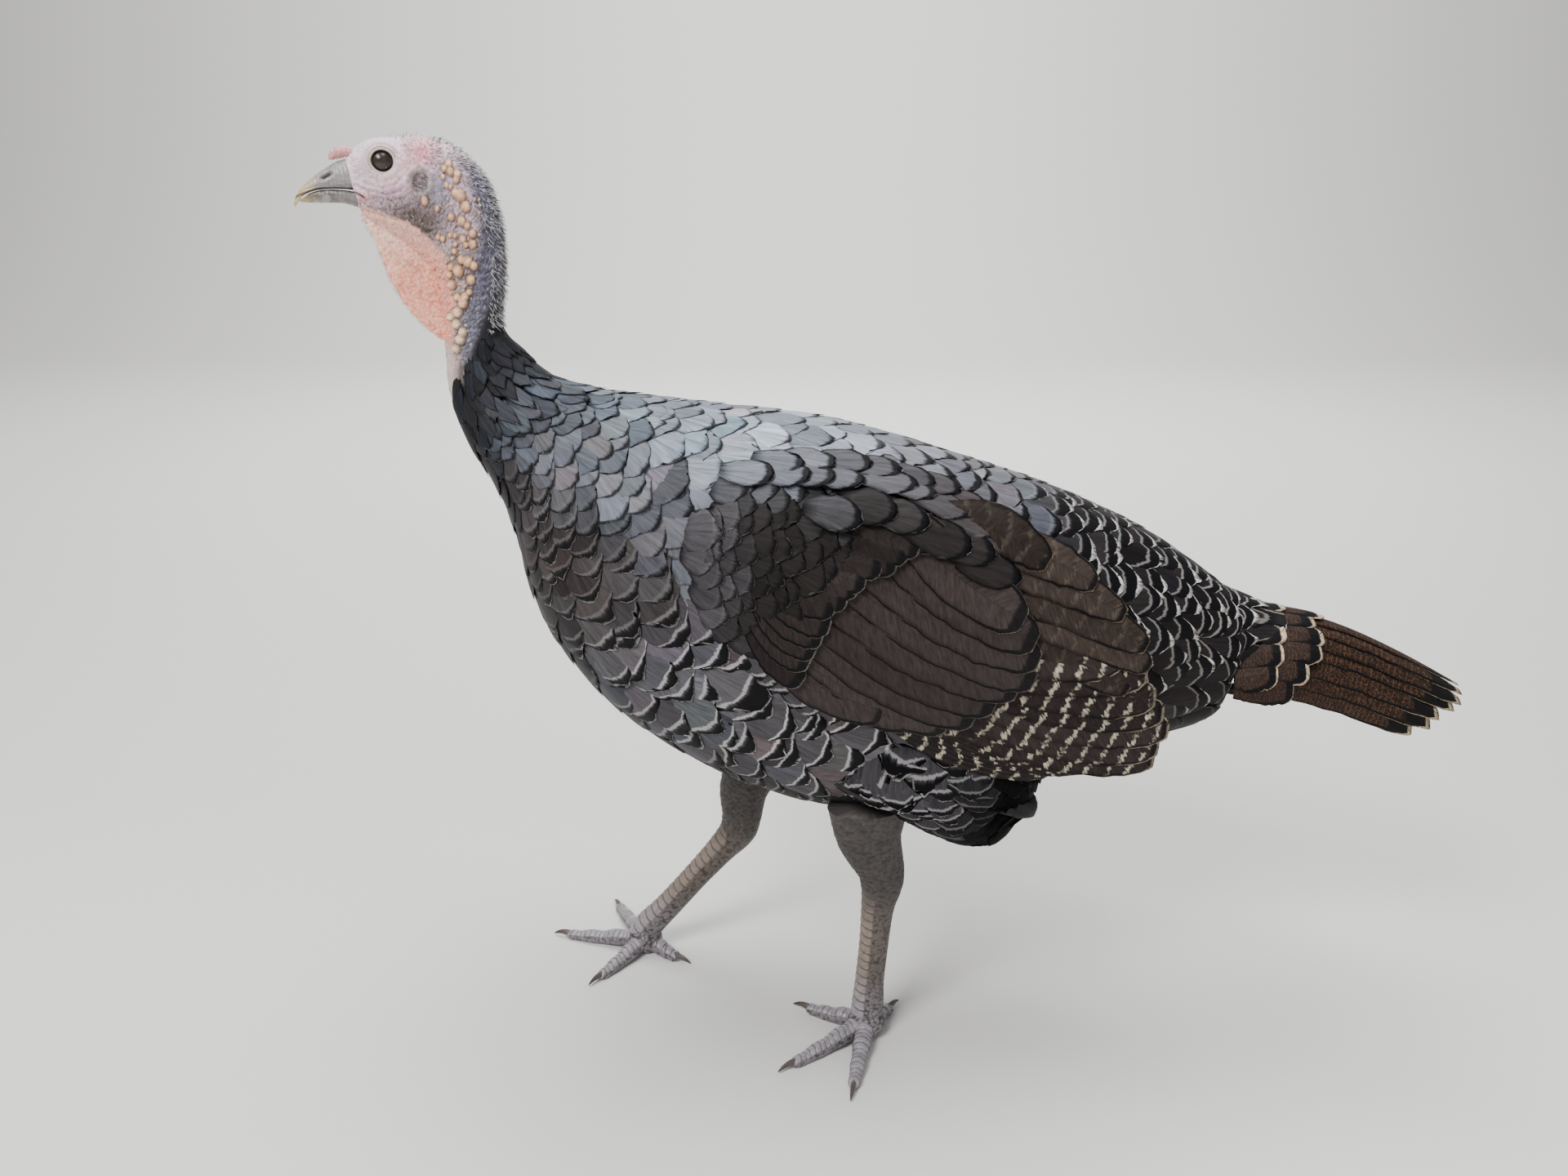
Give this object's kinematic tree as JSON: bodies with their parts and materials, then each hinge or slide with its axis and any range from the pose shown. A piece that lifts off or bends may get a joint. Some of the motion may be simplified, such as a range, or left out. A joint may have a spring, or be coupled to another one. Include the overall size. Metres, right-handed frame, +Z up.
{
  "type": "domestic turkey",
  "caption": "Young bronze domestic turkey as a still, life-size model in mid step: bare head and neck, folded wings, tail held low, both feet flat on the floor.",
  "frame": {"origin": "the middle of the bird's box, at floor level", "axes": "+Z up, beak towards -X, left side towards -Y"},
  "size_m": [0.7828, 0.2532, 0.6406],
  "materials": {
    "bare_skin": "matte, wrinkled",
    "wattle_skin": "satin, finely wrinkled",
    "beak_horn": "satin horn",
    "eye": "wet gloss",
    "body_plumage": "feathers with a bronze sheen",
    "flight_feathers": "stiff feathers, satin",
    "leg_scales": "scaly, satin",
    "claws": "satin horn"
  },
  "bodies": {
    "root": {"head": "bare_skin", "beak_upper": "beak_horn", "beak_lower": "beak_horn", "snood": "wattle_skin", "dewlap": "wattle_skin", "eye_left": "eye", "eye_right": "eye", "neck_upper": "bare_skin", "neck_lower": "body_plumage", "torso": "body_plumage", "wing_left": "flight_feathers", "wing_right": "flight_feathers", "tail": "flight_feathers", "thigh_left": "body_plumage", "thigh_right": "body_plumage", "shank_left": "leg_scales", "shank_right": "leg_scales", "foot_left": "leg_scales", "foot_right": "leg_scales", "claw_left_inner": "claws", "claw_left_middle": "claws", "claw_left_outer": "claws", "claw_left_hind": "claws", "claw_right_inner": "claws", "claw_right_middle": "claws", "claw_right_outer": "claws", "claw_right_hind": "claws"}
  },
  "joints": []
}
